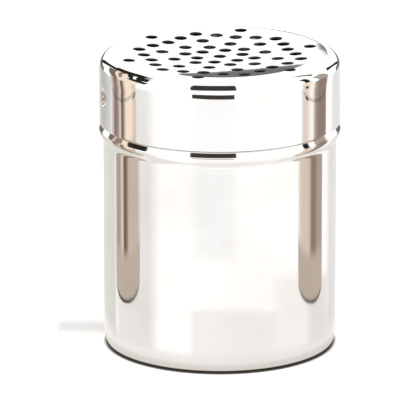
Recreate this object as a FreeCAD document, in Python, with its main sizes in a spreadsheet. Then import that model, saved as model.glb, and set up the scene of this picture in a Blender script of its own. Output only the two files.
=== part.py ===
import FreeCAD, Part
import math
import os
import Sketcher

# A ten ounce spice shaker of drawn and polished stainless sheet. The can is one
# drawn cup with a rolled bead. The perforated lid slides over the can's neck down
# to that bead, and two nubs pressed into its skirt twist under L-shaped channels
# pressed into the neck. The origin is the centre of the foot, with +Z up and -Y
# to the front. Every outline lists its corners with the metal on their left.

# Driving dimensions in millimetres, turns in degrees and counts
SIZES = (
    # The can
    ("overall_height", 86.0),
    ("can_dia", 67.6),
    ("can_sheet", 0.5),
    ("mouth_gap", 2.2),
    # Its pushed-up base and foot ring, set in from the wall
    ("base_rise", 1.6),
    ("base_panel_inset", 4.2),
    ("base_panel_round", 1.0),
    ("foot_inner_inset", 2.7),
    ("foot_inner_round", 0.8),
    ("foot_outer_round", 0.9),
    ("draw_in", 0.95),
    ("draw_in_height", 4.5),
    # Its bead, across the sharp corners that the rounds then ease
    ("bead_stand", 1.25),
    ("bead_tall", 4.95),
    ("bead_flank_tall", 1.7),
    ("bead_flank_round", 2.2),
    ("bead_crest_round", 2.2),
    ("bead_crest_lean", 0.2),
    ("bead_shoulder_tall", 0.65),
    ("bead_shoulder_round", 1.5),
    ("bead_neck_round", 0.3),
    # The lid, from the can's ledge up, and its space round the neck
    ("lid_tall", 19.65),
    ("lid_slack", 0.6),
    ("lid_sheet", 0.5),
    ("lid_seat_clearance", 0.2),
    ("lid_top_round", 3.7),
    ("dish_inset", 7.6),
    ("dish_depth", 0.95),
    ("dish_edge_round", 8.0),
    # Its holes
    ("hole_dia", 3.3),
    ("star_arms", 6.0),
    ("star_turn", 17.0),
    ("side_hole_turn", 15.5),
    # The pressed nubs and the channels that they ride in
    ("dent_dia", 5.0),
    ("dent_depth", 1.3),
    ("dent_rise", 9.1),
    ("dent_turn", 15.6),
    ("nub_clearance", 0.5),
    ("lock_turn", 30.0),
    # How far cutting tools run past the metal
    ("overrun", 5.0),
)

# One pitch of the holes is this share of the dish's radius
PITCH_SHARE = 0.25

# Hole places along each arm, between the arms and beside them, in pitches
ARM_HOLE_SHARES = (1, 2, 3, 4)
MID_HOLE_SHARES = (1.5, 2.5, 3.5)
SIDE_HOLE_SHARE = 3.2

# Share of the sloping foot that the wide round above it takes up
DRAW_IN_SHARE = 0.8


def cap_radius(half, depth):
    """Radius of the ball whose cap is this deep and half as wide as said."""
    return f"((({half}) ^ 2 + {depth} ^ 2) / (2 * {depth}))"


# Radii and heights worked out from the driving dimensions
CAN_R = "(Sizes.can_dia / 2)"
BEAD_R = f"({CAN_R} + Sizes.bead_stand)"
LID_R = f"({CAN_R} + Sizes.lid_slack + Sizes.lid_sheet)"
DISH_EDGE_R = f"({LID_R} - Sizes.dish_inset)"
HOLE_PITCH = f"({DISH_EDGE_R} * {PITCH_SHARE})"
LEDGE_HEIGHT = "(Sizes.overall_height - Sizes.lid_tall)"
SHOULDER_SLOPE = "Sizes.bead_shoulder_tall / (Sizes.bead_stand - Sizes.bead_crest_lean)"
LID_EDGE_HEIGHT = (
    f"({LEDGE_HEIGHT} - Sizes.lid_slack * {SHOULDER_SLOPE} + Sizes.lid_seat_clearance)"
)
MOUTH_HEIGHT = "(Sizes.overall_height - Sizes.lid_sheet - Sizes.mouth_gap)"
DISH_HEIGHT = "(Sizes.overall_height - Sizes.dish_depth)"
DISH_R = cap_radius(DISH_EDGE_R, "Sizes.dish_depth")

# The dent is a ball's cap, and the nub and the channel are round the same ball
DENT_R = cap_radius("Sizes.dent_dia / 2", "Sizes.dent_depth")
DENT_HEIGHT = f"({LID_EDGE_HEIGHT} + Sizes.dent_rise)"
DENT_CENTRE_R = f"({LID_R} - Sizes.dent_depth + {DENT_R})"
NUB_R = f"({DENT_R} + Sizes.lid_sheet)"
CHANNEL_R = f"({NUB_R} + Sizes.nub_clearance)"
CHANNEL_WALL_R = f"({CHANNEL_R} + Sizes.can_sheet)"

HALF_TURN = "180"
SIDES = (("left", HALF_TURN), ("right", "0"))

doc = FreeCAD.newDocument("SpiceShaker")
sheet = doc.addObject("Spreadsheet::Sheet", "Sizes")
for row, (alias, number) in enumerate(SIZES, start=1):
    sheet.set(f"A{row}", alias)
    sheet.set(f"B{row}", str(number))
    sheet.setAlias(f"B{row}", alias)
doc.recompute()


def value(expression):
    """Gives the number that an expression on the size sheet stands for."""
    return float(sheet.evalExpression(expression))


def tangent_round(run, drop, share):
    """Radius of the arc that eases a bend over a share of its sloping side.

    The bend is between a straight line and a slope of this run and drop.
    """
    slant = f"sqrt(({run}) ^ 2 + ({drop}) ^ 2)"
    return f"({share} * {slant} * ({drop}) / ({slant} - ({run})))"


def new_sketch(body, name, plane):
    """Adds a sketch on one of a body's own origin planes."""
    sketch = body.newObject("Sketcher::SketchObject", name)
    faces = [face for face in body.Origin.OriginFeatures if face.Role == plane]
    sketch.AttachmentSupport = (faces[0], "")
    sketch.MapMode = "FlatFace"
    return sketch


def bind(sketch, kind, *target):
    """Adds a sized constraint and ties it to its expression, the last entry."""
    expression = target[-1]
    index = sketch.addConstraint(Sketcher.Constraint(kind, *target[:-1], value(expression)))
    sketch.setExpression(f"Constraints[{index}]", expression)


def pin(sketch, part, end, across, up):
    """Holds one point of a sketch at its distances from the origin."""
    if value(across) == 0:
        sketch.addConstraint(Sketcher.Constraint("PointOnObject", part, end, -2))
    else:
        bind(sketch, "DistanceX", -1, 1, part, end, across)
    if value(up) == 0:
        sketch.addConstraint(Sketcher.Constraint("PointOnObject", part, end, -1))
    else:
        bind(sketch, "DistanceY", -1, 1, part, end, up)


class Bend:
    """A round of the sheet: its radius, start, end, centre and way of turning."""

    def __init__(self, radius, start, end, centre, left):
        self.radius = radius
        self.start = start
        self.end = end
        self.centre = centre
        self.left = left

    @classmethod
    def at_corner(cls, before, corner, after, radius):
        """The bend at a corner between two straight stretches."""
        came = (corner - before).normalize()
        goes = (after - corner).normalize()
        left = came.x * goes.y > came.y * goes.x
        reach = radius * math.tan(came.getAngle(goes) / 2)
        start = corner - came * reach
        inward = FreeCAD.Vector(-came.y, came.x, 0) * (1 if left else -1)
        return cls(radius, start, corner + goes * reach, start + inward * radius, left)

    @classmethod
    def into_dish(cls, rim, bottom, dish_radius, radius):
        """The bend from a level rim into a dish that is centred on the axis."""
        hub = bottom + FreeCAD.Vector(0, dish_radius, 0)
        rise = hub.y - rim.y + radius
        across = math.sqrt((dish_radius + radius) ** 2 - rise ** 2)
        centre = FreeCAD.Vector(across, rim.y - radius, 0)
        start = FreeCAD.Vector(across, rim.y, 0)
        end = centre + (hub - centre).normalize() * radius
        return cls(radius, start, end, centre, True)

    def arc(self, radius):
        """The bend as an arc of this radius about the bend's centre."""
        circle = Part.Circle(self.centre, FreeCAD.Vector(0, 0, 1), radius)
        ends = (self.start, self.end) if self.left else (self.end, self.start)
        angles = []
        for point in ends:
            spoke = point - self.centre
            angles.append(math.atan2(spoke.y, spoke.x))
        return Part.ArcOfCircle(circle, angles[0], angles[1])

    def shifted(self, point, radius):
        """A point of the bend moved onto the arc of another radius."""
        spoke = (point - self.centre).normalize()
        return self.centre + spoke * radius


class Stretch:
    """A piece of the outline between two bends: its index, first and last end."""

    def __init__(self, index, first, last):
        self.index = index
        self.first = first
        self.last = last


def straight(sketch, start, end):
    """Draws a straight stretch."""
    return Stretch(sketch.addGeometry(Part.LineSegment(start, end), False), 1, 2)


def dished(sketch, start, bottom, radius):
    """Draws the dish as an arc about the axis, from its edge to its bottom."""
    hub = bottom + FreeCAD.Vector(0, radius, 0)
    spoke = start - hub
    circle = Part.Circle(hub, FreeCAD.Vector(0, 0, 1), radius)
    arc = Part.ArcOfCircle(circle, -math.pi / 2, math.atan2(spoke.y, spoke.x))
    index = sketch.addGeometry(arc, False)
    sketch.addConstraint(Sketcher.Constraint("PointOnObject", index, 3, -2))
    return Stretch(index, 2, 1)


def chain(sketch, first, last, bends, radii, dish_radius):
    """Draws stretches and bends in turn and makes them tangent to each other.

    The last stretch is a dish if dish_radius is given. Returns the stretches and
    the indexes of the bends' arcs.
    """
    starts = [first]
    ends = []
    for bend, radius in zip(bends, radii):
        ends.append(bend.shifted(bend.start, radius))
        starts.append(bend.shifted(bend.end, radius))
    ends.append(last)
    stretches = [straight(sketch, *pair) for pair in zip(starts[:-1], ends[:-1])]
    if dish_radius:
        stretches.append(dished(sketch, starts[-1], last, dish_radius))
    else:
        stretches.append(straight(sketch, starts[-1], last))
    arcs = []
    for bend, radius, before, after in zip(bends, radii, stretches, stretches[1:]):
        arc = sketch.addGeometry(bend.arc(radius), False)
        enter, leave = (1, 2) if bend.left else (2, 1)
        sketch.addConstraint([
            Sketcher.Constraint("Tangent", before.index, before.last, arc, enter),
            Sketcher.Constraint("Tangent", arc, leave, after.index, after.first),
        ])
        arcs.append(arc)
    return stretches, arcs


def sheet_section(body, name, wall, corners, dish=None):
    """Sketches the cross-section of a drawn sheet of constant thickness.

    Args:
        body: The body that the sketch belongs to.
        name: The sketch's name.
        wall: Expression for the sheet's thickness.
        corners: For each corner of the outer face its expressions across, up
            and for its round, which is None at the two ends.
        dish: Expression for the dish's radius, where the last stretch is one.
    """
    sketch = new_sketch(body, name, "XZ_Plane")
    points = [FreeCAD.Vector(value(across), value(up), 0) for across, up, _ in corners]
    first, last = points[0], points[-1]
    thickness = value(wall)
    bends = []
    for index in range(1, len(points) - 1):
        radius = value(corners[index][2])
        if dish and index == len(points) - 2:
            bends.append(Bend.into_dish(points[index], last, value(dish), radius))
        else:
            near = points[index - 1:index + 2]
            bends.append(Bend.at_corner(*near, radius))

    # The outer face, held at its ends and corners
    radii = [bend.radius for bend in bends]
    dish_radius = value(dish) if dish else None
    outer, arcs = chain(sketch, first, last, bends, radii, dish_radius)
    pin(sketch, outer[0].index, outer[0].first, corners[0][0], corners[0][1])
    pin(sketch, outer[-1].index, outer[-1].last, corners[-1][0], corners[-1][1])
    for number, arc in enumerate(arcs):
        across, up, rounding = corners[number + 1]
        bind(sketch, "Radius", arc, rounding)
        if dish and number == len(arcs) - 1:
            sketch.addConstraint(Sketcher.Constraint("Horizontal", outer[number].index))
            bind(sketch, "Radius", outer[-1].index, dish)
            continue
        corner = sketch.addGeometry(Part.Point(points[number + 1]), True)
        pin(sketch, corner, 1, across, up)
        for stretch in outer[number:number + 2]:
            sketch.addConstraint(Sketcher.Constraint("PointOnObject", corner, 1, stretch.index))

    # The inner face, one sheet to the left, bent about the same centres
    rounds = []
    for bend, corner in zip(bends, corners[1:-1]):
        rounds.append(f"({corner[2]}) {'-' if bend.left else '+'} {wall}")
    radii = [value(rounding) for rounding in rounds]
    came = (points[1] - first).normalize()
    goes = (last - points[-2]).normalize()
    start = first + FreeCAD.Vector(-came.y, came.x, 0) * thickness
    end = last + FreeCAD.Vector(-goes.y, goes.x, 0) * thickness
    if dish:
        dish_radius += thickness
        end = last - FreeCAD.Vector(0, thickness, 0)
    inner, inner_arcs = chain(sketch, start, end, bends, radii, dish_radius)
    for arc, inner_arc, rounding in zip(arcs, inner_arcs, rounds):
        sketch.addConstraint(Sketcher.Constraint("Coincident", arc, 3, inner_arc, 3))
        bind(sketch, "Radius", inner_arc, rounding)

    # The cut edges of the sheet, square to its faces or along the axis
    for outside, inside, end in ((outer[0], inner[0], "first"), (outer[-1], inner[-1], "last")):
        out_end = getattr(outside, end)
        in_end = getattr(inside, end)
        edge = straight(sketch, sketch.getPoint(outside.index, out_end),
                        sketch.getPoint(inside.index, in_end)).index
        sketch.addConstraint([
            Sketcher.Constraint("Coincident", outside.index, out_end, edge, 1),
            Sketcher.Constraint("Coincident", inside.index, in_end, edge, 2),
        ])
        if dish and end == "last":
            sketch.addConstraint(Sketcher.Constraint("Vertical", edge))
            bind(sketch, "Radius", inside.index, f"{dish} + {wall}")
        else:
            sketch.addConstraint([
                Sketcher.Constraint("Perpendicular", outside.index, edge),
                Sketcher.Constraint("Parallel", outside.index, inside.index),
            ])
    return sketch


def spin(body, name, sketch):
    """Spins a section sketch all the way round the upright axis."""
    spun = body.newObject("PartDesign::Revolution", name)
    spun.Profile = sketch
    spun.ReferenceAxis = (sketch, ["V_Axis"])
    spun.Angle = 360
    doc.recompute()
    return spun


def join(kind, name, *pieces):
    """Adds a Part boolean of some pieces."""
    result = doc.addObject(kind, name)
    if kind in ("Part::Cut", "Part::Common"):
        result.Base = pieces[0]
        result.Tool = pieces[1]
    else:
        result.Shapes = list(pieces)
    return result


def place(thing, radius, turn, height):
    """Sets a piece at this radius, turn and height about the upright axis."""
    thing.setExpression("Placement.Base.x", f"{radius} * cos({turn})")
    thing.setExpression("Placement.Base.y", f"{radius} * sin({turn})")
    thing.setExpression("Placement.Base.z", height)


def ball(name, radius, turn):
    """A ball at the dent's height, centred where the dent's ball is."""
    thing = doc.addObject("Part::Sphere", name)
    thing.setExpression("Radius", radius)
    place(thing, DENT_CENTRE_R, turn, DENT_HEIGHT)
    return thing


def upright(name, radius, foot, top):
    """A cylinder on the upright axis between two heights."""
    thing = doc.addObject("Part::Cylinder", name)
    thing.setExpression("Radius", radius)
    thing.setExpression("Height", f"{top} - {foot}")
    thing.setExpression("Placement.Base.z", foot)
    return thing


def channel(name, radius):
    """Both L-shaped channels, as the space that a ball of this radius sweeps.

    Each comes down from the mouth to the dent's height and turns there towards
    the locked end, clockwise as seen from above.
    """
    parts = []
    for side, half in SIDES:
        turn = f"(Sizes.dent_turn + {half})"
        locked = f"({turn} - Sizes.lock_turn)"
        entry = upright(f"{name}_entry_{side}", radius, DENT_HEIGHT,
                        f"({MOUTH_HEIGHT} + Sizes.overrun)")
        place(entry, DENT_CENTRE_R, turn, DENT_HEIGHT)
        run = doc.addObject("Part::Torus", f"{name}_run_{side}")
        run.setExpression("Radius1", DENT_CENTRE_R)
        run.setExpression("Radius2", radius)
        run.setExpression("Angle3", "Sizes.lock_turn")
        run.Placement.Rotation = FreeCAD.Rotation(FreeCAD.Vector(0, 0, 1), value(locked))
        run.setExpression("Placement.Base.z", DENT_HEIGHT)
        foot = ball(f"{name}_foot_{side}", radius, turn)
        end = ball(f"{name}_end_{side}", radius, locked)
        parts += [entry, run, foot, end]
    return join("Part::MultiFuse", name, *parts)


def build_can():
    """The drawn can: base, foot ring, wall, rolled bead and channelled neck."""
    body = doc.addObject("PartDesign::Body", "DrawnCan")
    foot_r = f"({CAN_R} - Sizes.draw_in)"
    bead_top_r = f"({BEAD_R} - Sizes.bead_crest_lean)"
    bead_foot = f"({LEDGE_HEIGHT} - Sizes.bead_tall)"
    bead_low = f"({bead_foot} + Sizes.bead_flank_tall)"
    bead_high = f"({LEDGE_HEIGHT} - Sizes.bead_shoulder_tall)"
    draw_round = tangent_round("Sizes.draw_in_height", "Sizes.draw_in", DRAW_IN_SHARE)
    section = sheet_section(body, "CanSection", "Sizes.can_sheet", (
        ("0", "Sizes.base_rise", None),
        (f"{CAN_R} - Sizes.base_panel_inset", "Sizes.base_rise", "Sizes.base_panel_round"),
        (f"{CAN_R} - Sizes.foot_inner_inset", "0", "Sizes.foot_inner_round"),
        (foot_r, "0", "Sizes.foot_outer_round"),
        (CAN_R, "Sizes.draw_in_height", draw_round),
        (CAN_R, bead_foot, "Sizes.bead_flank_round"),
        (BEAD_R, bead_low, "Sizes.bead_crest_round"),
        (bead_top_r, bead_high, "Sizes.bead_shoulder_round"),
        (CAN_R, LEDGE_HEIGHT, "Sizes.bead_neck_round"),
        (CAN_R, MOUTH_HEIGHT, None),
    ))
    spin(body, "SpunCan", section)

    # The channels are pressed in, so a wall of the same sheet backs them
    middle_r = f"{CAN_R} - Sizes.can_sheet / 2"
    neck = upright("NeckCore", middle_r, LEDGE_HEIGHT, MOUTH_HEIGHT)
    backing = join("Part::Common", "ChannelBacking", channel("ChannelBack", CHANNEL_WALL_R), neck)
    walled = join("Part::MultiFuse", "WalledCan", body, backing)
    can = join("Part::Cut", "Can", walled, channel("Channel", CHANNEL_R))
    can.Label = "can_body"
    return can


def punch(body, name, places):
    """Punches round holes up through the lid's top at these places."""
    sketch = new_sketch(body, name + "Sketch", "XY_Plane")
    for across, up in places:
        centre = FreeCAD.Vector(value(across), value(up), 0)
        circle = Part.Circle(centre, FreeCAD.Vector(0, 0, 1), value("Sizes.hole_dia / 2"))
        hole = sketch.addGeometry(circle, False)
        pin(sketch, hole, 3, across, up)
        bind(sketch, "Diameter", hole, "Sizes.hole_dia")
    pocket = body.newObject("PartDesign::Pocket", name)
    pocket.Profile = sketch
    pocket.Type = "ThroughAll"
    pocket.Reversed = True
    before = body.Shape.Volume
    doc.recompute()
    if not pocket.Shape.Volume < before:
        raise RuntimeError(name + " cuts nothing")
    return pocket


def star_places():
    """Places of one arm's holes, of those between two arms and of its side holes."""
    polar = [(share, "0") for share in ARM_HOLE_SHARES]
    polar += [(share, f"{HALF_TURN} / Sizes.star_arms") for share in MID_HOLE_SHARES]
    polar += [(SIDE_HOLE_SHARE, "Sizes.side_hole_turn")]
    polar += [(SIDE_HOLE_SHARE, "-Sizes.side_hole_turn")]
    places = []
    for share, turn in polar:
        away = f"{share} * {HOLE_PITCH}"
        angle = f"Sizes.star_turn + {turn}"
        places.append((f"{away} * cos({angle})", f"{away} * sin({angle})"))
    return places


def build_lid():
    """The lid: dished and perforated top, straight skirt and two nubs."""
    body = doc.addObject("PartDesign::Body", "DrawnLid")
    section = sheet_section(body, "LidSection", "Sizes.lid_sheet", (
        (LID_R, LID_EDGE_HEIGHT, None),
        (LID_R, "Sizes.overall_height", "Sizes.lid_top_round"),
        (DISH_EDGE_R, "Sizes.overall_height", "Sizes.dish_edge_round"),
        ("0", DISH_HEIGHT, None),
    ), DISH_R)
    spin(body, "SpunLid", section)
    punch(body, "CentreHole", [("0", "0")])
    arm = punch(body, "ArmHoles", star_places())
    star = body.newObject("PartDesign::PolarPattern", "HoleStar")
    star.Originals = [arm]
    star.Axis = (arm.Profile[0], ["N_Axis"])
    star.Angle = 360
    star.Occurrences = round(value("Sizes.star_arms"))
    body.Tip = star
    doc.recompute()

    # Each dent is pressed in, so its sheet shows inside as a rounded nub
    middle_r = f"{LID_R} - Sizes.lid_sheet / 2"
    core = upright("SkirtCore", middle_r, LID_EDGE_HEIGHT, DISH_HEIGHT)
    nubs = []
    dents = []
    for side, half in SIDES:
        turn = f"(Sizes.dent_turn + {half})"
        nubs.append(ball(f"NubBall_{side}", NUB_R, turn))
        dents.append(ball(f"DentBall_{side}", DENT_R, turn))
    backing = join("Part::Common", "NubBacking", join("Part::MultiFuse", "Nubs", *nubs), core)
    backed = join("Part::MultiFuse", "BackedLid", body, backing)
    lid = join("Part::Cut", "Lid", backed, join("Part::MultiFuse", "Dents", *dents))
    lid.Label = "perforated_lid"
    return lid


pieces = (build_can(), build_lid())
doc.recompute()

for item in doc.Objects:
    if "Invalid" in item.State or "Error" in item.State:
        raise RuntimeError("failed: " + item.Name)
for piece in pieces:
    if piece.Shape.isNull() or not piece.Shape.isValid():
        raise RuntimeError("bad solid: " + piece.Label)

os.makedirs("parts", exist_ok=True)
for piece in pieces:
    piece.Shape.exportStep(f"parts/{piece.Label}.step")
    solids = len(piece.Shape.Solids)
    print(f"{piece.Label}: {solids} solid, {piece.Shape.Volume:.1f} cubic mm")
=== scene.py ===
"""Looks of a ten ounce spice shaker: a drawn steel can and its perforated lid.

Lengths in the classes are millimetres, and turn into metres where a mesh is made.
The origin is the centre of the foot, with +Z up and -Y towards the camera. An
outline is drawn in the XZ plane and spun about the upright axis.
"""

import logging
import math
from dataclasses import dataclass
from enum import Enum
from typing import Callable

import bpy
import numpy as np
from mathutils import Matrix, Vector


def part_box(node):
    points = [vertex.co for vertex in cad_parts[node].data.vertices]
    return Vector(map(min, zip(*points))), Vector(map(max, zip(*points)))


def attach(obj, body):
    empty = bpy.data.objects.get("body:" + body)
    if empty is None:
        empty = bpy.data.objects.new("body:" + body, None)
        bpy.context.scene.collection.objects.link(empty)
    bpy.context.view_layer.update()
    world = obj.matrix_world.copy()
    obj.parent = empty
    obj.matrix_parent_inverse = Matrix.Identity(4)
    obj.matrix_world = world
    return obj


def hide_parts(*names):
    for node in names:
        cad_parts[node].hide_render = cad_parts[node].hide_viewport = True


MM = 0.001
FULL_TURN = 360.0
ARC_STEP = 6.0
GUARD = 0.3
WELD = 0.002
PRESS_MARGIN = 3.0
NOSE_REACH = 0.98
EDGE_SEGMENTS = 3

Piece = bpy.types.Object
Pair = tuple[float, float]
Colour = tuple[float, float, float]
Spot = tuple[float, float, float]

log = logging.getLogger("shaker")
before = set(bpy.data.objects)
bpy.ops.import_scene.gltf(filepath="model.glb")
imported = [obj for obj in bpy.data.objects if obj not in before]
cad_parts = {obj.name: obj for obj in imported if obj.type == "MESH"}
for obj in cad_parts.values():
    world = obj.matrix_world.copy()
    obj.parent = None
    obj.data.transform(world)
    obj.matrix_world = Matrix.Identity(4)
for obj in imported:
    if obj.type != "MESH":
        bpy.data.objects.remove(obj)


# Shader maths


class Wire:
    """A node socket that can be used in Python arithmetic on plain values."""

    def __init__(self, tree: "Tree", socket: bpy.types.NodeSocket) -> None:
        """Remembers the socket and the tree that it is in."""
        self.tree = tree
        self.socket = socket

    def math(self, operation: str, *others: "Wire | float", swap: bool = False) -> "Wire":
        """Adds a Math node.

        Args:
            operation: The Math node's operation.
            others: The other operands.
            swap: Whether this wire is the second operand.

        Returns:
            The result's wire.
        """
        operands = [self, *others]
        if swap:
            operands.reverse()
        inputs = dict(enumerate(operands))
        return self.tree.node("ShaderNodeMath", inputs, operation=operation)

    def __add__(self, other: "Wire | float") -> "Wire":
        """Sum."""
        return self.math("ADD", other)

    __radd__ = __add__

    def __sub__(self, other: "Wire | float") -> "Wire":
        """Difference."""
        return self.math("SUBTRACT", other)

    def __rsub__(self, other: float) -> "Wire":
        """Difference from a number."""
        return self.math("SUBTRACT", other, swap=True)

    def __mul__(self, other: "Wire | float") -> "Wire":
        """Product."""
        return self.math("MULTIPLY", other)

    __rmul__ = __mul__

    def __truediv__(self, other: "Wire | float") -> "Wire":
        """Quotient."""
        return self.math("DIVIDE", other)

    def __pow__(self, other: "Wire | float") -> "Wire":
        """Power."""
        return self.math("POWER", other)

    def __abs__(self) -> "Wire":
        """Size without its sign."""
        return self.math("ABSOLUTE")

    def high(self, floor: "Wire | float") -> "Wire":
        """The larger of this and another value."""
        return self.math("MAXIMUM", floor)

    def low(self, ceiling: "Wire | float") -> "Wire":
        """The smaller of this and another value."""
        return self.math("MINIMUM", ceiling)

    def ease(self, start: float, end: float) -> "Wire":
        """A soft step that is 0 at the start and 1 at the end.

        Args:
            start: Value at which the step begins.
            end: Value at which the step is complete.

        Returns:
            The step's wire, from 0 to 1.
        """
        inputs = {"Value": self, "From Min": start, "From Max": end}
        return self.tree.node("ShaderNodeMapRange", inputs, interpolation_type="SMOOTHSTEP")


class Tree:
    """The node tree of one material or of the world."""

    def __init__(self, owner: bpy.types.Material | bpy.types.World) -> None:
        """Empties the node tree of the material or world."""
        owner.use_nodes = True
        self.nodes = owner.node_tree.nodes
        self.links = owner.node_tree.links
        self.nodes.clear()

    def node(self, kind: str, inputs: dict | None = None, output: int | str = 0,
             **settings: object) -> Wire:
        """Adds a node.

        Args:
            kind: The node's type.
            inputs: Values or wires of its sockets, by name or number.
            output: Which of its outputs is wanted.
            settings: The node's own settings, which are set first.

        Returns:
            The wire of the output.
        """
        made = self.nodes.new(kind)
        stops = settings.pop("stops", None)
        for key, setting in settings.items():
            setattr(made, key, setting)
        if stops:
            self._fill_ramp(made.color_ramp, stops)
        for key, given in (inputs or {}).items():
            socket = made.inputs[key]
            if isinstance(given, Wire):
                self.links.new(given.socket, socket)
            else:
                socket.default_value = given
        return Wire(self, made.outputs[output] if made.outputs else None)

    @staticmethod
    def _fill_ramp(ramp: bpy.types.ColorRamp, stops: list[tuple]) -> None:
        """Gives a colour ramp its stops, each a place and a colour."""
        while len(ramp.elements) < len(stops):
            ramp.elements.new(1.0)
        for element, (place, colour) in zip(ramp.elements, stops):
            element.position = place
            element.color = (*colour, 1.0)

    def place(self) -> Wire:
        """The object's own coordinates, in metres."""
        return self.node("ShaderNodeTexCoord", output="Object")

    def axes(self, vector: Wire) -> tuple[Wire, Wire, Wire]:
        """Splits a vector into its three values."""
        made = self.nodes.new("ShaderNodeSeparateXYZ")
        self.links.new(vector.socket, made.inputs[0])
        return tuple(Wire(self, socket) for socket in made.outputs)

    def stretched(self, vector: Wire, scale: tuple[float, float, float]) -> Wire:
        """Scales a vector along its axes."""
        return self.node("ShaderNodeMapping", {"Vector": vector, "Scale": scale})

    def noise(self, vector: Wire, scale: float, detail: float = 2.0) -> Wire:
        """Smooth noise from 0 to 1 with this many waves to the metre."""
        inputs = {"Vector": vector, "Scale": scale, "Detail": detail}
        return self.node("ShaderNodeTexNoise", inputs)

    def mixed(self, share: Wire | float, first: object, second: object) -> Wire:
        """Mixes two colours.

        Args:
            share: How much of the second colour there is.
            first: The first colour or its wire.
            second: The second colour or its wire.

        Returns:
            The wire of the mixed colour.
        """
        inputs = {0: share, 6: rgba(first), 7: rgba(second)}
        return self.node("ShaderNodeMix", inputs, output=2, data_type="RGBA")


def rgba(colour: object) -> object:
    """A colour with its alpha, or a wire as it is."""
    return colour if isinstance(colour, Wire) else (*colour, 1.0)


# Finishes


@dataclass(frozen=True)
class Steel:
    """Stainless sheet, from mirror polish to the satin left by the rolls.

    Attributes:
        name: The material's name.
        colour: Colour of the clean metal.
        shade: Colour where the polish is a little dull.
        roughness: Roughness of the polish.
        dulling: How much rougher the smudged places are.
        ripple: Height in millimetres of the slow ripples that drawing leaves.
        ripple_waves: Ripples to the metre.
        grain: Height in millimetres of the fine lines round the piece.
        cloud_waves: Broad smudges to the metre.
        wipe_waves: Finer smudges to the metre.
        wipe_share: How much of a smudge the finer ones break up.
        line_waves: Fine lines to the metre.
    """

    name: str
    colour: Colour
    shade: Colour
    roughness: float
    dulling: float
    ripple: float
    ripple_waves: float
    grain: float
    cloud_waves: float = 38.0
    wipe_waves: float = 210.0
    wipe_share: float = 0.3
    line_waves: float = 90.0

    def make(self) -> bpy.types.Material:
        """Builds the material."""
        material = bpy.data.materials.new(self.name)
        tree = Tree(material)
        place = tree.place()

        # Smudges: broad cloudy patches, broken up by finer ones
        cloudy = tree.noise(place, self.cloud_waves, 4.0).ease(0.42, 0.7)
        flat = tree.stretched(place, (1.0, 1.0, 3.5))
        wiped = tree.noise(flat, self.wipe_waves, 3.0).ease(0.45, 0.75)
        smudge = cloudy * (1 - self.wipe_share) + cloudy * wiped * self.wipe_share
        colour = tree.mixed(smudge, self.colour, self.shade)
        roughness = smudge * self.dulling + self.roughness

        # Relief: slow ripples of the drawn sheet and fine lines of the polishing
        ripples = tree.noise(tree.stretched(place, (1.0, 1.0, 0.45)), self.ripple_waves, 1.0)
        lines = tree.noise(tree.stretched(place, (1.0, 1.0, 60.0)), self.line_waves, 2.0)
        height = ripples * self.ripple + lines * self.grain
        bump = tree.node("ShaderNodeBump", {"Height": height, "Distance": MM, "Strength": 1.0})
        shader = tree.node("ShaderNodeBsdfPrincipled", {
            "Base Color": colour, "Metallic": 1.0, "Roughness": roughness, "Normal": bump,
        })
        tree.node("ShaderNodeOutputMaterial", {"Surface": shader})
        return material


CAN_POLISH = Steel("can_polish", (0.80, 0.785, 0.77), (0.74, 0.725, 0.71),
                   0.05, 0.05, 0.008, 55.0, 0.0002)
LID_POLISH = Steel("lid_polish", (0.82, 0.81, 0.80), (0.76, 0.745, 0.73),
                   0.03, 0.03, 0.02, 70.0, 0.0002)
INNER_SATIN = Steel("inner_satin", (0.30, 0.29, 0.28), (0.24, 0.23, 0.22),
                    0.32, 0.12, 0.006, 90.0, 0.002)
# Near black: the holes' walls, a rougher cut edge whose dark colour is painted shade for the
# dark inside the holes.
HOLE_WALL_SHADE = Steel("hole_wall_shade", (0.09, 0.085, 0.08), (0.06, 0.057, 0.055),
                 0.42, 0.1, 0.004, 300.0, 0.002)


# Mesh helpers


@dataclass(frozen=True)
class Corner:
    """A corner of an outline, in millimetres across and up, and its round."""

    across: float
    up: float
    rounding: float = 0.0

    @property
    def spot(self) -> Vector:
        """The corner as a vector across and up."""
        return Vector((self.across, self.up))


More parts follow.
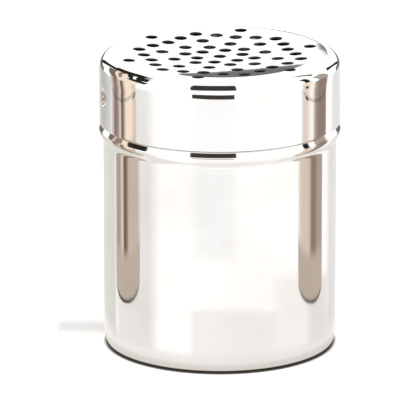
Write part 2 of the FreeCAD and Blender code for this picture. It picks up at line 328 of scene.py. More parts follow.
class Outline:
    """A pen that draws an open outline by extruding and spinning one vertex."""

    def __init__(self, name: str, start: Corner) -> None:
        """Puts the pen down.

        Args:
            name: The name of the piece that the outline becomes.
            start: Where the outline begins.
        """
        bpy.ops.mesh.primitive_circle_add(
            vertices=3, radius=MM, location=(start.across * MM, 0.0, start.up * MM))
        self.piece = bpy.context.object
        self.piece.name = name
        self.piece.data.name = name
        bpy.ops.object.transform_apply(location=True)
        bpy.ops.object.mode_set(mode="EDIT")
        bpy.ops.mesh.select_mode(type="VERT")
        bpy.ops.mesh.select_all(action="SELECT")
        bpy.ops.mesh.merge(type="CENTER")
        self.spot = start.spot

    def step_to(self, spot: Vector) -> None:
        """Extrudes the pen's vertex straight to a spot."""
        step = (spot - self.spot) * MM
        bpy.ops.mesh.extrude_region_move(
            TRANSFORM_OT_translate={"value": (step.x, 0.0, step.y)})
        self.spot = spot

    def line_to(self, spot: Vector, rows: float | None = None) -> None:
        """Draws a straight run with a short row at each end.

        Args:
            spot: Where the run ends.
            rows: Height of the rows between, or None for a single one.
        """
        run = spot - self.spot
        if run.length > 3 * GUARD:
            start = self.spot + run.normalized() * GUARD
            end = spot - run.normalized() * GUARD
            count = max(1, round((end - start).length / rows)) if rows else 1
            self.step_to(start)
            for number in range(1, count + 1):
                self.step_to(start.lerp(end, number / count))
        self.step_to(spot)

    def arc_to(self, centre: Vector, spot: Vector, step: float = ARC_STEP) -> None:
        """Spins the pen's vertex about a centre to a spot, the short way round.

        Args:
            centre: The arc's centre.
            spot: Where the arc ends.
            step: The largest angle between vertices, in degrees.
        """
        near, far = self.spot - centre, spot - centre
        angle = near.angle_signed(far)
        steps = max(1, math.ceil(abs(math.degrees(angle)) / step))
        bpy.ops.mesh.spin(steps=steps, angle=-angle,
                          center=(centre.x * MM, 0.0, centre.y * MM), axis=(0.0, 1.0, 0.0))
        self.spot = spot

    def bend(self, heading: float, radius: float, turn: float) -> float:
        """Bends to the left from a heading.

        Args:
            heading: The pen's direction, in degrees up from straight outwards.
            radius: Radius of the bend.
            turn: How far it turns, in degrees.

        Returns:
            The new heading.
        """
        side = math.radians(heading + 90.0)
        centre = self.spot + Vector((math.cos(side), math.sin(side))) * radius
        far = math.radians(heading + turn - 90.0)
        self.arc_to(centre, centre + Vector((math.cos(far), math.sin(far))) * radius)
        return heading + turn

    def follow(self, corners: list[Corner], rows: dict[int, float] | None = None) -> None:
        """Draws the rounded corners one after another and ends at the last.

        Args:
            corners: The corners after the pen's own spot.
            rows: Height of the rows on the run to the corner of that number.
        """
        rows = rows or {}
        for number, corner in enumerate(corners):
            here = corner.spot
            if number == len(corners) - 1 or not corner.rounding:
                self.line_to(here, rows.get(number))
                continue
            came = (here - self.spot).normalized()
            goes = (corners[number + 1].spot - here).normalized()
            turn = came.angle(goes)
            reach = corner.rounding * math.tan(turn / 2)
            start, end = here - came * reach, here + goes * reach
            inward = (goes - came).normalized()
            centre = here + inward * corner.rounding / math.cos(turn / 2)
            self.line_to(start, rows.get(number))
            self.arc_to(centre, end)

    def spin_round(self, sectors: list[Pair], start: float) -> Piece:
        """Spins the outline once round the upright axis.

        Args:
            sectors: Width and step of each sector, in degrees.
            start: Turn at which the first sector begins, in degrees.

        Returns:
            The finished shell, facing outwards.
        """
        bpy.ops.mesh.select_all(action="SELECT")
        for width, step in sectors:
            bpy.ops.mesh.spin(steps=math.ceil(width / step), angle=-math.radians(width),
                              center=(0.0, 0.0, 0.0), axis=(0.0, 0.0, 1.0))
        bpy.ops.mesh.select_all(action="SELECT")
        bpy.ops.mesh.remove_doubles(threshold=WELD * MM)
        bpy.ops.mesh.normals_make_consistent(inside=False)
        bpy.ops.object.mode_set(mode="OBJECT")
        self.piece.rotation_euler.z = math.radians(start)
        bpy.ops.object.transform_apply(rotation=True)
        return self.piece


def pick(piece: Piece) -> None:
    """Makes a piece the only one that is selected, and the active one."""
    bpy.ops.object.select_all(action="DESELECT")
    piece.select_set(True)
    bpy.context.view_layer.objects.active = piece


def modify(piece: Piece, kind: str, **settings: object) -> None:
    """Gives a piece a modifier and applies it.

    Args:
        piece: The piece.
        kind: The modifier's type.
        settings: The modifier's settings.
    """
    pick(piece)
    modifier = piece.modifiers.new(kind.lower(), kind)
    for key, setting in settings.items():
        setattr(modifier, key, setting)
    bpy.ops.object.modifier_apply(modifier=modifier.name)


def thicken(piece: Piece, sheet: float, edge_ease: float) -> None:
    """Gives a shell its sheet's thickness, inwards, and softens its edges.

    Args:
        piece: The shell, as a single sheet.
        sheet: Thickness of the sheet, in millimetres.
        edge_ease: Width of the softened edges.
    """
    modify(piece, "SOLIDIFY", thickness=sheet * MM, offset=-1.0,
           use_even_offset=True, use_quality_normals=True, material_offset=1)
    modify(piece, "BEVEL", width=edge_ease * MM, segments=EDGE_SEGMENTS,
           limit_method="ANGLE", angle_limit=math.radians(50))


@dataclass(frozen=True)
class Press:
    """A round-nosed tool that presses a dent or a groove into an upright wall.

    Attributes:
        nose: Radius of the tool's nose.
        centre: How far the nose's centre stands from the upright axis.
        ease: How soft the edge of the dent is.
    """

    nose: float
    centre: float
    ease: float = 0.35

    def depth(self, wall: np.ndarray, away: np.ndarray) -> np.ndarray:
        """How deep the wall is pressed in.

        Args:
            wall: Radius of the wall at each vertex.
            away: Each vertex's distance from the tool's path.

        Returns:
            The depth at each vertex, which fades softly to nothing.
        """
        reach = np.minimum(away, self.nose * NOSE_REACH)
        raw = wall - self.centre + np.sqrt(self.nose ** 2 - reach ** 2) - (away - reach)
        soft = (raw + np.sqrt(raw ** 2 + self.ease ** 2)) / 2
        rest = self.ease ** 2 / (4 * self.nose)
        return np.maximum(soft - rest, 0.0)


def press_wall(piece: Piece, press: Press, low: float,
               path: Callable[[np.ndarray, np.ndarray], np.ndarray]) -> None:
    """Presses a piece's wall towards the upright axis.

    Args:
        piece: The piece, as a single sheet.
        press: The tool.
        low: Height below which nothing moves.
        path: Gives the distance from the tool's path, from turns and heights.
    """
    mesh = piece.data
    places = np.zeros(len(mesh.vertices) * 3)
    mesh.vertices.foreach_get("co", places)
    places = places.reshape(-1, 3) / MM
    radius = np.hypot(places[:, 0], places[:, 1])
    turn = np.arctan2(places[:, 1], places[:, 0])
    depth = press.depth(radius, path(turn, places[:, 2]))
    depth[(places[:, 2] < low) | (radius < press.centre - press.nose - PRESS_MARGIN)] = 0.0
    share = 1 - depth / np.maximum(radius, 1.0)
    places[:, 0] *= share
    places[:, 1] *= share
    mesh.vertices.foreach_set("co", (places * MM).ravel())
    mesh.update()


def turn_from(turn: np.ndarray, middle: float) -> np.ndarray:
    """Turns measured from a middle one, between minus and plus half a turn."""
    return (turn - middle + math.pi) % (2 * math.pi) - math.pi


# The pieces


@dataclass
class TwistLock:
    """The lock that the lid's nubs and the can's channels make.

    Attributes:
        turn: Turn of the right-hand nub at rest, in degrees.
        height: Height of the nubs at rest.
        dent_wide: Width of a dent.
        dent_deep: Depth of a dent.
        clearance: Space between a nub and its channel.
        travel: How far the lid turns, in degrees.
    """

    turn: float = 15.6
    height: float = 75.26
    dent_wide: float = 5.0
    dent_deep: float = 1.3
    clearance: float = 0.5
    travel: float = 30.0

    @property
    def nose(self) -> float:
        """Radius of the ball that presses a dent."""
        return (self.dent_wide ** 2 / 4 + self.dent_deep ** 2) / (2 * self.dent_deep)

    def centre(self, lid_radius: float) -> float:
        """How far the ball's centre stands from the axis."""
        return lid_radius - self.dent_deep + self.nose

    def sides(self) -> list[float]:
        """The turns of both nubs, in radians."""
        return [math.radians(self.turn), math.radians(self.turn) + math.pi]


@dataclass
class Can:
    """The drawn can: pushed-up base, foot ring, wall, rolled bead and neck.

    A sector is a width and a step in degrees, as spin_round takes them.
    """

    lock: TwistLock
    lid_radius: float
    radius: float = 33.8
    sheet: float = 0.5
    base_rise: float = 1.6
    panel_radius: float = 29.6
    panel_round: float = 1.0
    foot_inside: float = 31.1
    foot_inside_round: float = 0.8
    foot_round: float = 0.7
    draw_in: float = 0.75
    draw_in_tall: float = 3.5
    draw_in_round: float = 20.0
    ledge: float = 66.2
    ledge_round: float = 0.3
    bead_radius: float = 35.05
    bead_foot: float = 61.4
    bead_low: float = 63.1
    bead_high: float = 64.25
    bead_lean: float = 0.05
    bead_round: float = 2.2
    shoulder_round: float = 0.8
    neck_rows: float = 0.45
    plain_neck: float = 0.5
    lock_sector: Pair = (44.0, 0.8)
    plain_sector: Pair = (136.0, 1.7)
    lock_margin: float = 7.0
    edge_ease: float = 0.1
    name: str = "can_shell"

    def corners(self, mouth: float) -> list[Corner]:
        """The corners of the outer face, from the base's middle to the mouth's height."""
        return [
            Corner(self.panel_radius, self.base_rise, self.panel_round),
            Corner(self.foot_inside, 0.0, self.foot_inside_round),
            Corner(self.radius - self.draw_in, 0.0, self.foot_round),
            Corner(self.radius, self.draw_in_tall, self.draw_in_round),
            Corner(self.radius, self.bead_foot, self.bead_round),
            Corner(self.bead_radius, self.bead_low, self.bead_round),
            Corner(self.bead_radius - self.bead_lean, self.bead_high, self.shoulder_round),
            Corner(self.radius, self.ledge, self.ledge_round),
            Corner(self.radius, mouth),
        ]

    def channel(self, turn: np.ndarray, height: np.ndarray) -> np.ndarray:
        """Distance from the channels' L-shaped middle line.

        Args:
            turn: Turns in radians.
            height: Heights.

        Returns:
            The distance along the wall.
        """
        travel = math.radians(self.lock.travel)
        drop = height - self.lock.height
        nearest = np.full_like(turn, np.inf)
        for side in self.lock.sides():
            across = turn_from(turn, side)
            entry = np.hypot(across * self.radius, np.minimum(drop, 0.0))
            along = across - np.clip(across, -travel, 0.0)
            run = np.hypot(along * self.radius, drop)
            nearest = np.minimum(nearest, np.minimum(entry, run))
        return nearest

    def build(self) -> Piece:
        """Models the can's shell."""
        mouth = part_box("can_body")[1].z / MM
        outline = Outline(self.name, Corner(0.0, self.base_rise))
        corners = self.corners(mouth)
        outline.follow(corners, {len(corners) - 1: self.neck_rows})
        start = self.lock.turn - self.lock.travel - self.lock_margin
        piece = outline.spin_round([self.lock_sector, self.plain_sector] * 2, start)
        nose = self.lock.nose + self.sheet + self.lock.clearance
        press = Press(nose, self.lock.centre(self.lid_radius))
        press_wall(piece, press, self.ledge + self.plain_neck, self.channel)
        thicken(piece, self.sheet, self.edge_ease)
        pick(piece)
        bpy.ops.object.shade_smooth()
        return piece

    def dress(self, piece: Piece) -> None:
        """Gives the can its finishes and its place in the frame."""
        for finish in (CAN_POLISH, INNER_SATIN):
            piece.data.materials.append(finish.make())
        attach(piece, "can")
        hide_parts("can_body")


@dataclass
class Lid:
    """The perforated lid: dished top, round shoulder and straight skirt.

    The shoulder is bends of a radius and a turn in degrees, from the skirt up. The
    holes' shares are of the pitch, along the arms, between them and beside them.
    """

    lock: TwistLock
    radius: float = 34.9
    sheet: float = 0.5
    shoulder: tuple[Pair, ...] = ((9.8, 9.5), (3.7, 18.0), (3.57, 62.5))
    dish_radius: float = 27.3
    dish_deep: float = 0.95
    dish_ease: float = 8.0
    dish_steps: Pair = (0.8, 0.3)
    skirt_rows: float = 0.4
    dent_ease: float = 0.5
    dent_sector: Pair = (14.0, 0.7)
    plain_sector: Pair = (166.0, 1.5)
    edge_ease: float = 0.1
    hole: float = 3.3
    lip: float = 0.3
    lip_lean: float = 22.0
    lip_step: float = 12.0
    punch_under: float = 2.0
    punch_over: float = 1.2
    punch_step: float = 11.25
    pitch: float = 6.83
    arms: int = 6
    star_turn: float = 17.0
    arm_shares: tuple[float, ...] = (1.0, 2.0, 3.0, 4.0)
    mid_shares: tuple[float, ...] = (1.5, 2.5, 3.5)
    side_share: float = 3.2
    side_turn: float = 15.5
    name: str = "lid_shell"

    @property
    def dish_ball(self) -> float:
        """Radius of the ball that the dish is part of."""
        return (self.dish_radius ** 2 + self.dish_deep ** 2) / (2 * self.dish_deep)

    @property
    def shoulder_tall(self) -> float:
        """Height of the shoulder's bends together."""
        tall, leant = 0.0, 0.0
        for radius, turn in self.shoulder:
            reached = leant + turn
            tall += radius * (math.sin(math.radians(reached)) - math.sin(math.radians(leant)))
            leant = reached
        return tall

    def dish_height(self, top: float, away: float) -> float:
        """Height of the dish at this distance from the axis."""
        hub = top - self.dish_deep + self.dish_ball
        return hub - math.sqrt(self.dish_ball ** 2 - away ** 2)

    def shell(self, edge: float, top: float) -> Piece:
        """Spins the lid without its holes.

        Args:
            edge: Height of the skirt's edge.
            top: Height of the lid's top.

        Returns:
            The lid as a single sheet.
        """
        hub = Vector((0.0, top - self.dish_deep + self.dish_ball))
        rise = hub.y - top + self.dish_ease
        across = math.sqrt((self.dish_ball + self.dish_ease) ** 2 - rise ** 2)
        ease_centre = Vector((across, top - self.dish_ease))
        outline = Outline(self.name, Corner(self.radius, edge))
        outline.line_to(Vector((self.radius, top - self.shoulder_tall)), self.skirt_rows)
        heading = 90.0
        for radius, turn in self.shoulder:
            heading = outline.bend(heading, radius, turn)
        outline.line_to(Vector((across, top)))
        into = ease_centre + (hub - ease_centre).normalized() * self.dish_ease
        ease_step, dish_step = self.dish_steps
        outline.arc_to(ease_centre, into, ease_step)
        outline.arc_to(hub, Vector((0.0, hub.y - self.dish_ball)), dish_step)
        start = self.lock.turn - self.dent_sector[0] / 2
        return outline.spin_round([self.dent_sector, self.plain_sector] * 2, start)

    def dents(self, turn: np.ndarray, height: np.ndarray) -> np.ndarray:
        """Distance from the middle of the nearest dent."""
        nearest = np.full_like(turn, np.inf)
        for side in self.lock.sides():
            across = turn_from(turn, side) * self.radius
            nearest = np.minimum(nearest, np.hypot(across, height - self.lock.height))
        return nearest

    def places(self) -> list[Pair]:
        """The holes' places, as a distance in millimetres and a turn in degrees."""
        gap = FULL_TURN / self.arms
        found = [(0.0, 0.0)]
        for arm in range(self.arms):
            middle = self.star_turn + arm * gap
            found += [(share * self.pitch, middle) for share in self.arm_shares]
            found += [(share * self.pitch, middle + gap / 2) for share in self.mid_shares]
            found += [(self.side_share * self.pitch, middle + self.side_turn),
                      (self.side_share * self.pitch, middle - self.side_turn)]
        return found

    def punch(self, top: float) -> Piece:
        """Models one punch and copies it to every hole.

        Args:
            top: Height of the lid's top.

        Returns:
            All the punches as one piece.
        """
        radius = self.hole / 2
        lean = math.radians(self.lip_lean)
        round_centre = Vector((radius + self.lip, -self.lip))
        leaves = round_centre + Vector((-math.sin(lean), math.cos(lean))) * self.lip
        outline = Outline("punch", Corner(0.0, -self.punch_under))
        outline.step_to(Vector((radius, -self.punch_under)))
        outline.step_to(Vector((radius, -self.lip)))
        outline.arc_to(round_centre, leaves, self.lip_step)
        outline.step_to(leaves + Vector((math.cos(lean), math.sin(lean))) * self.punch_over)
        outline.step_to(Vector((0.0, outline.spot.y)))
        first = outline.spin_round([(FULL_TURN, self.punch_step)], 0.0)
        copies = []
        for away, turn in self.places():
            pick(first)
            bpy.ops.object.duplicate()
            copy = bpy.context.object
            angle = math.radians(turn)
            copy.location = (away * math.cos(angle) * MM, away * math.sin(angle) * MM,
                             self.dish_height(top, away) * MM)
            copy.rotation_euler = (0.0, -math.asin(away / self.dish_ball), angle)
            copies.append(copy)
        bpy.data.objects.remove(first)
        pick(copies[0])
        for copy in copies:
            copy.select_set(True)
        bpy.ops.object.join()
        bpy.ops.object.transform_apply(location=True, rotation=True)
        return bpy.context.object

    def build(self) -> Piece:
        """Models the lid's shell and punches it."""
        low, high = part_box("perforated_lid")
        edge, top = low.z / MM, high.z / MM
        piece = self.shell(edge, top)
        press = Press(self.lock.nose, self.lock.centre(self.radius), self.dent_ease)
        press_wall(piece, press, edge, self.dents)
        thicken(piece, self.sheet, self.edge_ease)
        for finish in (LID_POLISH, INNER_SATIN):
            piece.data.materials.append(finish.make())
        punches = self.punch(top)
        # The punches leave the holes' walls in near-black steel, painted shade.
        punches.data.materials.append(HOLE_WALL_SHADE.make())
        modify(piece, "BOOLEAN", object=punches, operation="DIFFERENCE", solver="EXACT",
               material_mode="TRANSFER")
        bpy.data.objects.remove(punches)
        pick(piece)
        bpy.ops.object.shade_smooth_by_angle(angle=math.radians(20))
        return piece

    def dress(self, piece: Piece) -> None:
        """Gives the lid its place in the frame."""
        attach(piece, "lid")
        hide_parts("perforated_lid")


# The room


@dataclass(frozen=True)
class Glow:
    """Light that a card gives off by itself, even all over.

    Attributes:
        name: The material's name.
        colour: The light's colour.
    """

    name: str
    colour: Colour

    def paint(self, tree: Tree) -> object:
        """The colour, or the wire that it comes from."""
        return rgba(self.colour)

    def make(self) -> bpy.types.Material:
        """Builds the material."""
        material = bpy.data.materials.new(self.name)
        tree = Tree(material)
        light = tree.node("ShaderNodeEmission", {"Color": self.paint(tree), "Strength": 1.0})
        tree.node("ShaderNodeOutputMaterial", {"Surface": light})
        return material


class Tone(Enum):
    """Tones of the stripes that polished steel shows beside white paper."""

    PAPER = (1.18, 1.12, 1.06)
    CREAM = (1.14, 0.95, 0.80)
    SHELL = (0.92, 0.79, 0.69)
    SAND = (0.83, 0.70, 0.60)
    TAN = (0.70, 0.58, 0.50)
    ASH = (0.76, 0.69, 0.65)
    CLAY = (0.50, 0.41, 0.35)
    UMBER = (0.33, 0.25, 0.21)
    SOOT = (0.19, 0.13, 0.09)


Stripes = tuple[tuple[float, Tone], ...]
DARK_CLOTH = Glow("dark_cloth", (0.055, 0.05, 0.048))
BLACK_CLOTH = Glow("black_cloth", (0.025, 0.023, 0.021))
GREY_WALL = Glow("grey_wall", (0.19, 0.185, 0.18))
BROWN_WOOD = Glow("brown_wood", (0.52, 0.43, 0.37))
TAN_WOOD = Glow("tan_wood", (0.34, 0.27, 0.23))
UMBER_WOOD = Glow("umber_wood", (0.24, 0.18, 0.15))
CREAM_STEEL = Glow("cream_steel", Tone.CREAM.value)

# Cards at the left and at the right, by the turn and rise of each corner in degrees
SKY_CARDS = (
    ("left_far_wall", GREY_WALL, (-166, -12), (-141, -12), (-141, 3), (-166, 3)),
    ("left_far_post", BLACK_CLOTH, (-158, 2), (-153, 2), (-137, 31), (-151, 31)),
    ("left_low_beam", BLACK_CLOTH, (-158, 30), (-138, 30), (-127, 42), (-158, 42)),
    ("left_beam", BLACK_CLOTH, (-158, 42), (-127, 41), (-122, 50), (-136, 56)),
    ("left_thin_post", BLACK_CLOTH, (-135, 41), (-102, 28.5), (-101, 33), (-122, 43.5)),
    ("left_post", BLACK_CLOTH, (-126, 47.5), (-94, 32), (-87, 42), (-118, 56)),
    ("left_near_post", BLACK_CLOTH, (-110, 22), (-78, 22), (-80, 35), (-100, 36)),
    ("left_umber_wood", UMBER_WOOD, (-141, 20), (-118, -2), (-108, 4), (-137, 31)),
    ("left_cream_edge", CREAM_STEEL, (-137, 31), (-108, 4), (-106, 9), (-135, 35)),
    ("left_tan_wood", TAN_WOOD, (-135, 35), (-106, 9), (-104, 14), (-131, 38)),
    ("left_cream_wood", CREAM_STEEL, (-131, 38), (-104, 14), (-100, 24), (-125, 41)),
    ("left_cream", CREAM_STEEL, (-112, -4), (-85, -4), (-85, 24), (-112, 24)),
    ("right_post", BLACK_CLOTH, (88, 13), (94.5, 13), (104, 39), (95, 39)),
    ("right_cream", CREAM_STEEL, (83, -4), (97, -4), (97, 13), (83, 13)),
    ("right_wood", BROWN_WOOD, (106, -4), (122, -4), (122, 28), (106, 28)),
    ("right_far_wall", GREY_WALL, (141, -12), (166, -12), (166, 3), (141, 3)),
    ("right_far_post", BLACK_CLOTH, (156, 2), (151, 2), (140, 17), (147, 19)),
    ("right_near_post", BLACK_CLOTH, (147, 19), (140, 16), (130, 20), (142, 27)),
    ("right_beam", BLACK_CLOTH, (118, 37), (126, 38), (152, 49), (134, 49)),
)


@dataclass(frozen=True)
class StripedGlow(Glow):
    """The light of another shaker: upright stripes that fade towards its foot.

    Attributes:
        stripes: Places in millimetres along Y from its middle, and the tones there.
        upper: The same for its upper part.
        spots: Dark spots, each by its place along Y, height and half sizes.
        fade: Heights between which the stripes set in, over the plain colour.
        change: Heights between which the upper part's stripes take over.
        line: Height of the dark line of painted contact shadow where it stands, and where that
            has faded.
        crease: Height of the dark line of painted shade that its bead makes.
        crease_sides: Distances from that line between which it sets in.
        crease_share: How dark it is.
        spot_sides: Shares of a spot's size between which it sets in.
        dark: Colour of the painted shade lines and of the spots.
    """

    stripes: Stripes
    upper: Stripes
    spots: tuple[tuple[float, float, float, float], ...] = ()
    fade: Pair = (13.0, 18.5)
    change: Pair = (46.0, 52.0)
    line: Pair = (0.9, 2.0)
    crease: float = 63.7
    crease_sides: Pair = (0.8, 0.3)
    crease_share: float = 0.35
    spot_sides: Pair = (1.2, 0.8)
    dark: Colour = (0.06, 0.05, 0.045)

    def ramp(self, tree: Tree, along: Wire, stripes: Stripes) -> Wire:
        """A colour ramp of stripes.

        Args:
            tree: The tree to add to.
            along: The place along Y, in millimetres.
            stripes: The stripes.

        Returns:
            The colour's wire.
        """
        first, last = stripes[0][0], stripes[-1][0]
        share = (along - first) / (last - first)
        stops = [((place - first) / (last - first), tone.value) for place, tone in stripes]
        return tree.node("ShaderNodeValToRGB", {"Fac": share}, stops=stops)

    def paint(self, tree: Tree) -> Wire:
        """The stripes' wire."""
        _, along, tall = (axis / MM for axis in tree.axes(tree.place()))
        lower = self.ramp(tree, along, self.stripes)
        colour = tree.mixed(tall.ease(*self.fade), self.colour, lower)
        colour = tree.mixed(tall.ease(*self.change), colour, self.ramp(tree, along, self.upper))
        # Painted shade: a dark line at its bead and a contact shadow at its foot, then the dark
        # spots.
        bead_shade = abs(tall - self.crease).ease(*self.crease_sides) * self.crease_share
        painted_shade = bead_shade.high(tall.ease(self.line[1], self.line[0]))
        for place, height, wide, high in self.spots:
            away = (abs(along - place) / wide).high(abs(tall - height) / high)
            painted_shade = painted_shade.high(away.ease(*self.spot_sides))
        return tree.mixed(painted_shade, colour, self.dark)


LEFT_STEEL = StripedGlow(
    "left_steel", (0.63, 0.53, 0.45),
    ((-31.0, Tone.SHELL), (-25.0, Tone.TAN), (-11.0, Tone.TAN), (-8.0, Tone.UMBER),
     (-4.5, Tone.SOOT), (-2.6, Tone.SOOT), (-0.8, Tone.SAND), (3.0, Tone.SAND),
     (6.0, Tone.CLAY), (14.0, Tone.CLAY), (24.0, Tone.ASH)),
    ((-31.0, Tone.SHELL), (-26.0, Tone.SAND), (-21.0, Tone.CREAM), (-13.5, Tone.CREAM),
     (-11.4, Tone.SAND), (-9.6, Tone.CLAY), (-7.2, Tone.SOOT), (-5.6, Tone.SOOT),
     (-4.2, Tone.SAND), (-2.0, Tone.SAND), (0.3, Tone.CLAY), (3.5, Tone.UMBER),
     (10.0, Tone.UMBER), (14.0, Tone.ASH)),
    ((-26.0, 62.2, 2.4, 0.6),))
RIGHT_STEEL = StripedGlow(
    "right_steel", (0.62, 0.52, 0.45),
    ((-31.0, Tone.PAPER), (-25.0, Tone.SHELL), (-21.0, Tone.SAND), (-12.0, Tone.SAND),
     (-8.4, Tone.TAN), (-5.6, Tone.UMBER), (1.5, Tone.UMBER), (5.0, Tone.CLAY),
     (17.0, Tone.CLAY), (25.0, Tone.ASH)),
    ((-31.0, Tone.PAPER), (-25.0, Tone.SHELL), (-19.0, Tone.SHELL), (-13.0, Tone.PAPER),
     (-10.0, Tone.PAPER), (-8.0, Tone.SHELL), (-6.0, Tone.CLAY), (0.0, Tone.UMBER),
     (15.0, Tone.UMBER), (19.0, Tone.CLAY), (23.0, Tone.ASH), (26.0, Tone.PAPER)),
    ((-20.5, 75.0, 2.4, 3.0), (-19.5, 63.2, 2.4, 0.55)))


@dataclass(frozen=True)
class Shade:
    """A soft shade on the floor, given by where the can's wall mirrors it.

    Attributes:
        colour: The shade's colour.
        turns: Turns on the wall between which it is seen, in degrees from the front.
        soft: How soft those two sides are, in degrees.
        heights: Heights on the wall between which it sets in.
    """

    colour: Colour
    turns: Pair
    soft: float
    heights: Pair

    def mask(self, tree: Tree, across: Wire, along: Wire, wall: float, slope: float) -> Wire:
        """How strong the shade is at a place on the floor.

        Args:
            tree: Not used.
            across: The place along X, in millimetres.
            along: The place along Y, in millimetres.
            wall: Radius of the can's wall.
            slope: Fall of the mirrored view for each millimetre across the floor.

        Returns:
            The strength's wire, from 0 to 1.
        """
        strength = None
        for turn, side in zip(self.turns, (1.0, -1.0)):
            angle = math.radians(turn)
            ahead = Vector((math.sin(2 * angle), -math.cos(2 * angle)))
            bend = wall * math.cos(angle) / 2
            centre = Vector((math.sin(angle), -math.cos(angle))) * wall - ahead * bend
            right, back = across - centre.x, along - centre.y
            far = right * ahead.x + back * ahead.y
            aside = back * ahead.x - right * ahead.y
            offset = aside.math("ARCTAN2", far) * (side * 90.0 / math.pi)
            edge = offset.ease(-self.soft, self.soft)
            rise = ((right * right + back * back) ** 0.5 - bend) * slope
            edge = edge * rise.ease(*self.heights)
            strength = edge if strength is None else strength.low(edge)
        return strength


@dataclass(frozen=True)
class Contact:
    """A shade on the floor all round the can.

    Attributes:
        colour: The shade's colour.
        reach: Distances from the wall between which it sets in, in millimetres.
    """

    colour: Colour
    reach: Pair

    def mask(self, tree: Tree, across: Wire, along: Wire, wall: float, slope: float) -> Wire:
        """How strong the shade is at a place on the floor, as for Shade."""
        away = (across * across + along * along) ** 0.5
        return (away - wall).ease(*self.reach)


@dataclass(frozen=True)
class FloorGlow(Glow):
    """The floor's light as the steel sees it: white paper with soft shades.

    Attributes:
        wall: Radius of the can's wall.
        slope: Fall of the mirrored view for each millimetre across the floor.
        shades: The soft shades, each over the ones before.
    """

    wall: float
    slope: float
    shades: tuple[Shade | Contact, ...]

    def paint(self, tree: Tree) -> Wire:
        """The shaded colour's wire."""
        across, along, _ = (axis / MM for axis in tree.axes(tree.place()))
        colour = self.colour
        for shade in self.shades:
            strength = shade.mask(tree, across, along, self.wall, self.slope)
            colour = tree.mixed(strength, colour, shade.colour)
        return colour


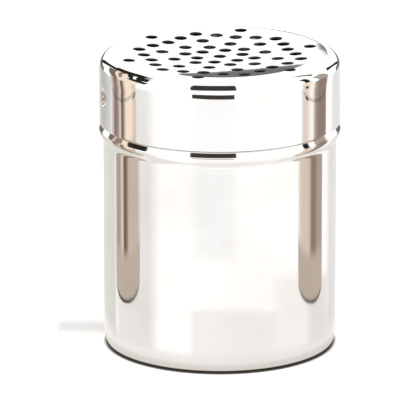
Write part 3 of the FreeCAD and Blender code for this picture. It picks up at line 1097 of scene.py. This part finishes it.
@dataclass
class Studio:
    """The floor, the white surroundings and what else the steel mirrors.

    Attributes:
        can: The can.
        elevation: Elevation of the camera, in degrees.
        white: Strength of the white surroundings.
        eye: Height from which the sky cards' directions start.
        tall: Height of the shakers at the sides.
        seat: How far over the ledge their skirts end.
        crown: Round at their tops.
        shadow: Distances from its middle between which the can's shadow sets in.
        shadow_ahead: How far that middle is in front of the can's.
        streak: Middle and half width of the faint painted shadow at the left, along Y.
        streak_far: Places along X between which that shadow sets in.
        streak_near: Places along X between which it ends.
        streak_share: How dark it is.
        shadow_colour: Colour of the painted shadows: the can's and the one at the left.
        paper: Half the width of the mirrored floor.
        paper_lift: Its height over the floor.
    """

    can: Can
    elevation: float
    white: float = 1.35
    eye: float = 75.0
    tall: float = 86.0
    seat: float = 0.4
    crown: float = 4.0
    shadow: Pair = (34.7, 32.7)
    shadow_ahead: float = 1.3
    streak: Pair = (11.5, 19.0)
    streak_far: Pair = (-51.0, -46.0)
    streak_near: Pair = (-20.0, -30.0)
    streak_share: float = 0.49
    shadow_colour: Colour = (0.03, 0.025, 0.02)
    paper: float = 900.0
    paper_lift: float = 0.2

    def light(self) -> None:
        """Makes the surroundings white."""
        world = bpy.data.worlds.new("tent")
        bpy.context.scene.world = world
        tree = Tree(world)
        white = rgba((1.0, 1.0, 1.0))
        glow = tree.node("ShaderNodeBackground", {"Color": white, "Strength": self.white})
        tree.node("ShaderNodeOutputWorld", {"Surface": glow})

    def floor(self) -> None:
        """Lays the pale floor, with the can's shadow and a faint shadow at the left painted on
        it.
        """
        bpy.ops.mesh.primitive_plane_add(size=6.0)
        floor = bpy.context.object
        floor.name = "floor"
        material = bpy.data.materials.new("floor_paper")
        tree = Tree(material)
        across, along, _ = (axis / MM for axis in tree.axes(tree.place()))
        # Painted shadows: the can's shadow round its foot and a faint shadow at the left.
        ahead = along + self.shadow_ahead
        under = ((across * across + ahead * ahead) ** 0.5).ease(*self.shadow)
        middle, half = self.streak
        beside = abs(along - middle).ease(half, 0.0).low(across.ease(*self.streak_far))
        shadow = under.high(beside.low(across.ease(*self.streak_near)) * self.streak_share)
        shader = tree.node("ShaderNodeBsdfPrincipled", {
            "Base Color": tree.mixed(shadow, (0.9, 0.895, 0.89), self.shadow_colour),
            "Emission Color": tree.mixed(shadow, (1.0, 0.985, 0.97), self.shadow_colour),
            "Roughness": 0.9, "Emission Strength": 0.45,
        })
        tree.node("ShaderNodeOutputMaterial", {"Surface": shader})
        floor.data.materials.append(material)

    def finish(self, card: Piece, name: str, glow: Glow) -> None:
        """Names a card, gives it its glow and leaves it to reflections only."""
        card.name = name
        card.data.materials.append(glow.make())
        card.visible_camera = False
        card.visible_shadow = False
        card.visible_diffuse = False

    def panel(self, name: str, corners: list[Spot], glow: Glow) -> None:
        """Stands a flat card.

        Args:
            name: The card's name.
            corners: Its four corners in turn, in millimetres.
            glow: Its light.
        """
        bpy.ops.mesh.primitive_plane_add(size=1.0)
        card = bpy.context.object
        for number, corner in zip((0, 1, 3, 2), corners):
            card.data.vertices[number].co = Vector(corner) * MM
        self.finish(card, name, glow)

    def toward(self, turn: float, rise: float, away: float = 800.0) -> Spot:
        """A place in a direction from the lid.

        Args:
            turn: Turn of the direction, in degrees from the front to the right.
            rise: How far it points up, in degrees.
            away: How far away it is, in millimetres.

        Returns:
            The place.
        """
        turn, rise = math.radians(turn), math.radians(rise)
        flat = math.cos(rise) * away
        return flat * math.sin(turn), -flat * math.cos(turn), self.eye + math.sin(rise) * away

    def neighbour(self, name: str, across: float, back: float, size: float,
                  glow: Glow) -> None:
        """Stands another shaker of the same form beside this one.

        Args:
            name: Its name.
            across: Where it stands along X, in millimetres.
            back: Where it stands along Y.
            size: Its width as a share of this one's.
            glow: Its light.
        """
        skirt = self.can.ledge + self.seat
        outline = Outline(name, Corner(0.0, 0.0))
        outline.follow(self.can.corners(skirt)[2:] + [
            Corner(self.can.lid_radius, skirt),
            Corner(self.can.lid_radius, self.tall, self.crown),
            Corner(0.0, self.tall),
        ])
        card = outline.spin_round([(FULL_TURN, 3.0)], 0.0)
        pick(card)
        bpy.ops.object.shade_smooth_by_angle(angle=math.radians(40))
        card.scale = (size, size, 1.0)
        bpy.ops.object.transform_apply(scale=True)
        card.location = (across * MM, back * MM, 0.0)
        self.finish(card, name, glow)

    def neighbours(self) -> None:
        """Stands a shaker at each side, striped by what its own steel mirrors."""
        self.neighbour("left_neighbour", -108.3, 0.8, 0.917, LEFT_STEEL)
        self.neighbour("right_neighbour", 108.6, -3.7, 0.905, RIGHT_STEEL)

    def mirrored_floor(self) -> None:
        """Lays the shaded paper that only the steel sees."""
        paper = FloorGlow(
            "floor_shades", (1.32, 1.31, 1.30), self.can.radius,
            math.tan(math.radians(self.elevation)), (
                Shade((1.22, 1.22, 1.22), (-13.2, 7.4), 3.0, (30.0, 34.0)),
                Shade((1.00, 0.98, 0.96), (-62.0, -34.0), 4.5, (0.0, 3.0)),
                Shade((1.12, 1.11, 1.10), (-14.0, 31.0), 2.5, (18.5, 16.0)),
                Shade((1.19, 1.16, 1.13), (29.0, 64.0), 5.0, (29.0, 24.0)),
                Shade((1.00, 0.96, 0.93), (50.0, 67.0), 4.0, (27.0, 22.0)),
                Shade((0.92, 0.91, 0.90), (67.0, 95.0), 3.5, (0.0, 3.0)),
                Shade((0.86, 0.85, 0.82), (-95.0, -63.0), 1.5, (-3.0, 0.0)),
                Shade((0.75, 0.74, 0.72), (-95.0, -62.0), 3.0, (7.5, 5.0)),
                Shade((0.62, 0.61, 0.60), (-80.0, -68.0), 5.0, (61.0, 72.0)),
                Contact((1.06, 1.03, 1.00), (21.0, 4.0)),
                Contact((0.86, 0.82, 0.78), (4.5, 0.5)),
                Contact((0.03, 0.025, 0.02), (0.0, -0.7)),
            ))
        far, lift = self.paper, self.paper_lift
        self.panel("mirrored_floor", [
            (-far, -far, lift), (far, -far, lift), (far, far, lift), (-far, far, lift)], paper)

    def cards(self) -> None:
        """Stands the dark cards overhead, in front and behind."""
        self.panel("overhead_strip", [
            (-470.0, -830.0, 685.0), (246.0, -830.0, 685.0),
            (80.0, -60.0, 685.0), (-150.0, -60.0, 685.0)], DARK_CLOTH)
        self.panel("front_band", [
            (-211.0, -450.0, 0.0), (104.0, -450.0, 0.0),
            (104.0, -450.0, 100.0), (-211.0, -450.0, 100.0)], DARK_CLOTH)
        self.panel("back_wedge", [
            (45.0, 600.0, 0.0), (-14.0, 600.0, 0.0),
            (-9.0, 600.0, 176.0), (45.0, 600.0, 248.0)], GREY_WALL)
        for name, right, left in (("back_left", -90.0, -330.0), ("back_right", 330.0, 90.0)):
            self.panel(name, [
                (right, 600.0, 0.0), (left, 600.0, 0.0),
                (left, 600.0, 95.0), (right, 600.0, 95.0)], GREY_WALL)

    def sky_cards(self) -> None:
        """Hangs each card of the table, in the directions of its four corners."""
        for name, glow, *corners in SKY_CARDS:
            self.panel(name, [self.toward(turn, rise) for turn, rise in corners], glow)

    def set_up(self) -> None:
        """Builds the whole room."""
        self.light()
        self.floor()
        self.mirrored_floor()
        self.neighbours()
        self.cards()
        self.sky_cards()


@dataclass(frozen=True)
class Camera:
    """The photograph's camera, worked out from the rims and the wall's edges."""

    distance: float = 1674.4
    elevation: float = 16.12
    aim: float = 43.0
    focal: float = 5770.8
    image: float = 400.0
    middle: Pair = (219.85, 196.55)
    sensor: float = 36.0

    def set_up(self) -> None:
        """Makes the camera and gives it to the scene."""
        angle = math.radians(self.elevation)
        away = Vector((0.0, -math.cos(angle), math.sin(angle))) * self.distance
        bpy.ops.object.camera_add(
            location=(away + Vector((0.0, 0.0, self.aim))) * MM,
            rotation=(math.radians(90.0) - angle, 0.0, 0.0))
        camera = bpy.context.object
        camera.name = "camera"
        lens = camera.data
        lens.sensor_width = self.sensor
        lens.lens = self.focal / self.image * self.sensor
        lens.shift_x = (self.image / 2 - self.middle[0]) / self.image
        lens.shift_y = (self.middle[1] - self.image / 2) / self.image
        lens.clip_start = 0.01
        lens.clip_end = 20.0
        bpy.context.scene.camera = camera


def main() -> None:
    """Builds the shaker and its surroundings."""
    logging.basicConfig(level=logging.INFO)
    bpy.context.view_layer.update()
    lock = TwistLock()
    lid = Lid(lock)
    can = Can(lock, lid.radius)
    camera = Camera()
    camera.set_up()
    Studio(can, camera.elevation).set_up()
    for maker in (can, lid):
        piece = maker.build()
        maker.dress(piece)
        log.info("%s: %d faces", piece.name, len(piece.data.polygons))
    scene = bpy.context.scene
    scene.view_settings.view_transform = "Standard"


if __name__ == "__main__":
    main()
